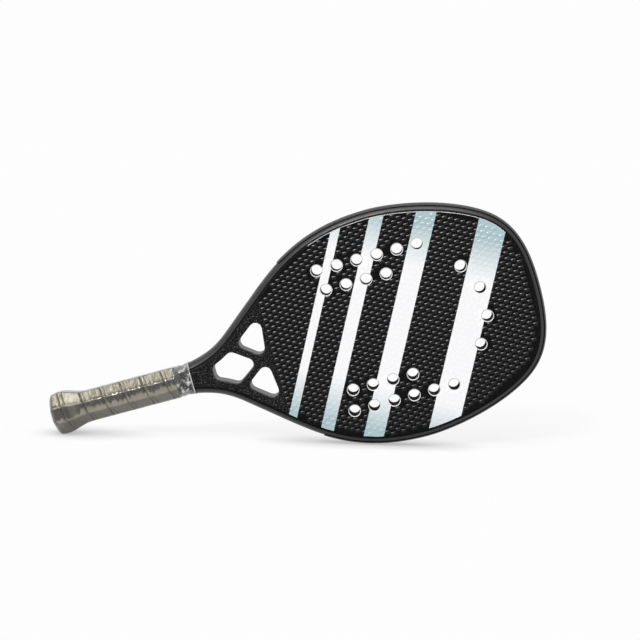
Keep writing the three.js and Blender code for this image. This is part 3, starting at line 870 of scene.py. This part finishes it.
# %% Painted shade at the seams and bevel edges
SEAM_SHADE_STOPS = [(0.0, "#ffffff"), (0.025, "#ffffff"), (0.045, "#000000"), (0.175, "#000000"),
              (0.195, "#ffffff"), (0.225, "#ffffff"), (0.245, "#000000"), (0.96, "#000000"),
              (0.985, "#ffffff")]
BACK_EDGE_SHADE = [(0.57, "#000000"), (0.574, "#ffffff"), (0.588, "#ffffff"), (0.598, "#606060"),
             (0.64, "#000000")]
TOP_SHARE = 0.75
FRONT_EDGE_SHADE = [(2 * TOP_SHARE - share, code) for share, code in reversed(BACK_EDGE_SHADE)]

# Painted shade: dark lines on each seam and beside it, kept on the upper half only.
seam_shade_lines = add_node(tree, "ShaderNodeValToRGB", {"Fac": across_turn(tree, place)},
                      stops=SEAM_SHADE_STOPS)
seams = add_node(tree, "ShaderNodeMath", {0: seam_shade_lines, 1: upper_half}, operation="MULTIPLY")
# Painted shade: a dark line along the lower edge of each upper bevel, fading up the bevel.
angle = add_node(tree, "ShaderNodeMath", {0: height, 1: deep}, operation="ARCTAN2")
round_share = add_node(tree, "ShaderNodeMapRange", {"Value": angle, "From Min": -pi,
                       "From Max": pi})
bevel_edge_shade = add_node(tree, "ShaderNodeValToRGB", {"Fac": round_share}, stops=BACK_EDGE_SHADE + FRONT_EDGE_SHADE)
seam_and_edge_shade = add_node(tree, "ShaderNodeMath", {0: seams, 1: bevel_edge_shade}, operation="MAXIMUM")
shaded_tape = add_node(tree, "ShaderNodeMix", {"Factor": seam_and_edge_shade, 6: streaked, 7: "#2b2613"},
                  data_type="RGBA").outputs[2]
print("with its seams and folds the tape has", len(tree.nodes), "nodes")

# %% [markdown]
# ## Where the film clings
#
# The widest flat sides are coloured dark, a painted dark reflection in the film over them. On the
# front and the back the dark part ends in a ragged border half-way down, a little lower at the
# butt. The top and the bottom are dark all over. The square of a side's direction picks out both
# sides of a pair, whichever way they look.

# %% Ragged border
RAGGED_SIZE, RAGGED_DEPTH, BORDER_SOFTNESS = 3.4 * MM, 13 * MM, 1.3 * MM
BORDER_HEIGHT, BORDER_AT_BUTT = -0.5 * MM, -5 * MM

ragged = marks_round_handle(tree, place, RAGGED_SIZE, detail=3)
border = add_node(tree, "ShaderNodeMapRange", {"Value": at_butt, "To Min": BORDER_HEIGHT,
                  "To Max": BORDER_AT_BUTT})
above = add_node(tree, "ShaderNodeMath", {0: height, 1: border}, operation="SUBTRACT")
ragged_height = add_node(tree, "ShaderNodeMath", {0: ragged, 1: RAGGED_DEPTH, 2: above},
                  operation="MULTIPLY_ADD")
dark_reflection_reach = add_node(tree, "ShaderNodeMapRange", {"Value": ragged_height,
                    "From Min": RAGGED_DEPTH / 2 - BORDER_SOFTNESS,
                    "From Max": RAGGED_DEPTH / 2 + BORDER_SOFTNESS})
print("the border wanders over up to", round(RAGGED_DEPTH / MM), "mm")

# %% Dark flat sides
TURNED_OFF, FACING = 0.85, 0.95

dark_reflection_sides = []
side = add_node(tree, "ShaderNodeNewGeometry").outputs["True Normal"]
for direction, most in ((DEEP, dark_reflection_reach), (ACROSS, 1.0)):
    turned = add_node(tree, "ShaderNodeVectorMath", {0: side, 1: direction},
                      operation="DOT_PRODUCT").outputs["Value"]
    square = add_node(tree, "ShaderNodeMath", {0: turned, 1: turned}, operation="MULTIPLY")
    dark_reflection_sides.append(add_node(tree, "ShaderNodeMapRange", {"Value": square,
                              "From Min": TURNED_OFF, "From Max": FACING, "To Max": most}))
# The dark tone of the flat sides is a painted reflection in the film.
dark_reflection = add_node(tree, "ShaderNodeMath", {0: dark_reflection_sides[0], 1: dark_reflection_sides[1]}, operation="MAXIMUM")
dark_reflection_tone = add_node(tree, "ShaderNodeMix", {"Factor": streaks, 6: "#0d0b0c", 7: "#352f2f"},
                    data_type="RGBA").outputs[2]
tones = add_node(tree, "ShaderNodeMix", {"Factor": dark_reflection, 6: shaded_tape, 7: dark_reflection_tone},
                 data_type="RGBA").outputs[2]
print("with its dark sides the tape has", len(tree.nodes), "nodes")

# %% [markdown]
# ## Wound band
#
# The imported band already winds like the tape, and its copy only gets rounded edges. Where smooth
# shading runs over the narrow corners, weighted normals usually leave the wide sides flat. Here the
# weight is low, so the small faces of the corners count most, and each wide side turns a little
# towards them. It looks softly rounded, as tape does that is pulled round a hard octagon.

# %% Grip tape
GRAIN_OF_TAPE = 0.2 * MM
TAPE_ROUNDING = 0.3 * MM
TAPE_TURN = 60  # degrees
LOW_WEIGHT = 5

leather = add_node(tree, "ShaderNodeBump", {"Height": streaks, "Distance": GRAIN_OF_TAPE,
                   "Strength": 0.4})
set_inputs(tree, shader, {"Base Color": tones, "Normal": leather})

tape = copy_of("grip_band", "grip_tape")
modify(tape, "BEVEL", width=TAPE_ROUNDING, segments=2, limit_method="ANGLE",
       angle_limit=radians(TAPE_TURN))
smooth(tape, TAPE_TURN)
modify(tape, "WEIGHTED_NORMAL", weight=LOW_WEIGHT)
finish(tape, ["grip_band"], "grip_tape", tape_skin)

# %% [markdown]
# ## Shrink film
#
# A new racket has a clear film shrunk over its grip. It is thin and shiny, and it is real glass to
# the camera, so both its faces mirror the lights. Bumps crease it: fine ones that run round the
# handle and are deeper on the flared butt, a ridge where it bridges each seam of the tape, and deep
# crumples on the neck, where it had to shrink most. Between the seams it is drawn tight, so there
# it is shaded with the flat direction of each side. On a ridge it is loose and turns softly from
# one side to the next. Only the narrow corners turn through the direction that mirrors the lights,
# and the creases break that bright line into glints.

# %% Piece of film
film = copy_of("grip_film", "shrink_film")
smooth(film, TAPE_TURN)
modify(film, "WEIGHTED_NORMAL", weight=LOW_WEIGHT)
FILM_END = max((TO_RACKET @ vertex.co).x for vertex in film.data.vertices)
print("the film ends at", round(FILM_END / MM, 1), "mm")

# %% Creases over the tape
CREASE_SIZE, CREASE_HIGH = 3.2 * MM, 0.5 * MM
GATHERED_START, GATHERED_END, GATHERED_MOST = 44 * MM, 30 * MM, 2.2
RIDGE_STOPS = [(0.0, "#ffffff"), (0.08, "#000000"), (0.12, "#000000"), (0.2, "#e0e0e0"),
               (0.28, "#000000"), (0.92, "#000000"), (1.0, "#ffffff")]
TIGHT, LOOSE = 0.1, 0.5

film_clear, tree, shader = new_material("clear_polyolefin_film", "#f4f5f1", 0.06, IOR=1.49,
                                        Specular_IOR_Level=0.35)
place = on_racket(tree)
along = add_node(tree, "ShaderNodeSeparateXYZ", {0: place})
ridges = add_node(tree, "ShaderNodeValToRGB", {"Fac": across_turn(tree, place)}, stops=RIDGE_STOPS)
fine = marks_round_handle(tree, place, CREASE_SIZE)
gathered = add_node(tree, "ShaderNodeMapRange", {"Value": along, "From Min": GATHERED_START,
                    "From Max": GATHERED_END, "To Min": 1.0, "To Max": GATHERED_MOST})
creases = add_node(tree, "ShaderNodeMath", {0: fine, 1: gathered, 2: ridges},
                   operation="MULTIPLY_ADD")
sides = add_node(tree, "ShaderNodeNewGeometry").outputs
loose = add_node(tree, "ShaderNodeMapRange", {"Value": ridges, "From Min": TIGHT,
                 "From Max": LOOSE})
turning = add_node(tree, "ShaderNodeMix", {"Factor": loose, 4: sides["True Normal"],
                   5: sides["Normal"]}, data_type="VECTOR").outputs[1]
creased = add_node(tree, "ShaderNodeBump", {"Height": creases, "Distance": CREASE_HIGH,
                   "Normal": turning})

# %% Crumples on the neck
CRUMPLE_SIZE, CRUMPLE_HIGH = 5 * MM, 5 * MM
NECK_FILM_START, NECK_BLEND = 130 * MM, 2 * MM

crumple = add_node(tree, "ShaderNodeTexNoise", {"Vector": place, "Scale": 1 / CRUMPLE_SIZE})
crumpled = add_node(tree, "ShaderNodeBump", {"Height": crumple, "Distance": CRUMPLE_HIGH})
on_neck = add_node(tree, "ShaderNodeMapRange", {"Value": along,
                   "From Min": NECK_FILM_START - NECK_BLEND,
                   "From Max": NECK_FILM_START + NECK_BLEND})
wrinkled = add_node(tree, "ShaderNodeMix", {"Factor": on_neck, 4: creased, 5: crumpled},
                    data_type="VECTOR").outputs[1]
print("with its creases and crumples the film has", len(tree.nodes), "nodes")

# %% [markdown]
# ## Milky patches of the film
#
# Where film is stretched or doubled over itself it turns cloudy, and so does its cut end. There the
# shader lets less light through and shows its own pale colour. On the neck these pale patches also
# stand for the sheen of the crumpled film, a painted sheen. For shadow rays the whole film is plain
# transparent, so that the lights reach the tape below without noise.

# %% Clear film
MILKY_FROM, MILKY_FULL = 0.52, 0.66
CUT_START, CUT_FULL = 1.1 * MM, 0.7 * MM
MILKY_CLEARNESS = 0.6

stretched = add_node(tree, "ShaderNodeMapRange", {"Value": crumple, "From Min": MILKY_FROM,
                     "From Max": MILKY_FULL, "To Max": on_neck})
cut_edge = add_node(tree, "ShaderNodeMapRange", {"Value": along, "From Min": FILM_END - CUT_START,
                    "From Max": FILM_END - CUT_FULL})
# Pale patches: cloudy film, and on the neck partly a painted sheen.
milky_and_sheen = add_node(tree, "ShaderNodeMath", {0: stretched, 1: cut_edge}, operation="MAXIMUM")
clear = add_node(tree, "ShaderNodeMapRange", {"Value": milky_and_sheen, "To Min": 1.0,
                 "To Max": MILKY_CLEARNESS})
set_inputs(tree, shader, {"Normal": wrinkled, "Transmission Weight": clear})

path = add_node(tree, "ShaderNodeLightPath").outputs
let_through = add_node(tree, "ShaderNodeBsdfTransparent")
film_mix = add_node(tree, "ShaderNodeMixShader", {0: path["Is Shadow Ray"], 1: shader,
                    2: let_through})
set_inputs(tree, tree.nodes["Material Output"], {"Surface": film_mix})
finish(film, ["grip_film"], "clear_film", film_clear)
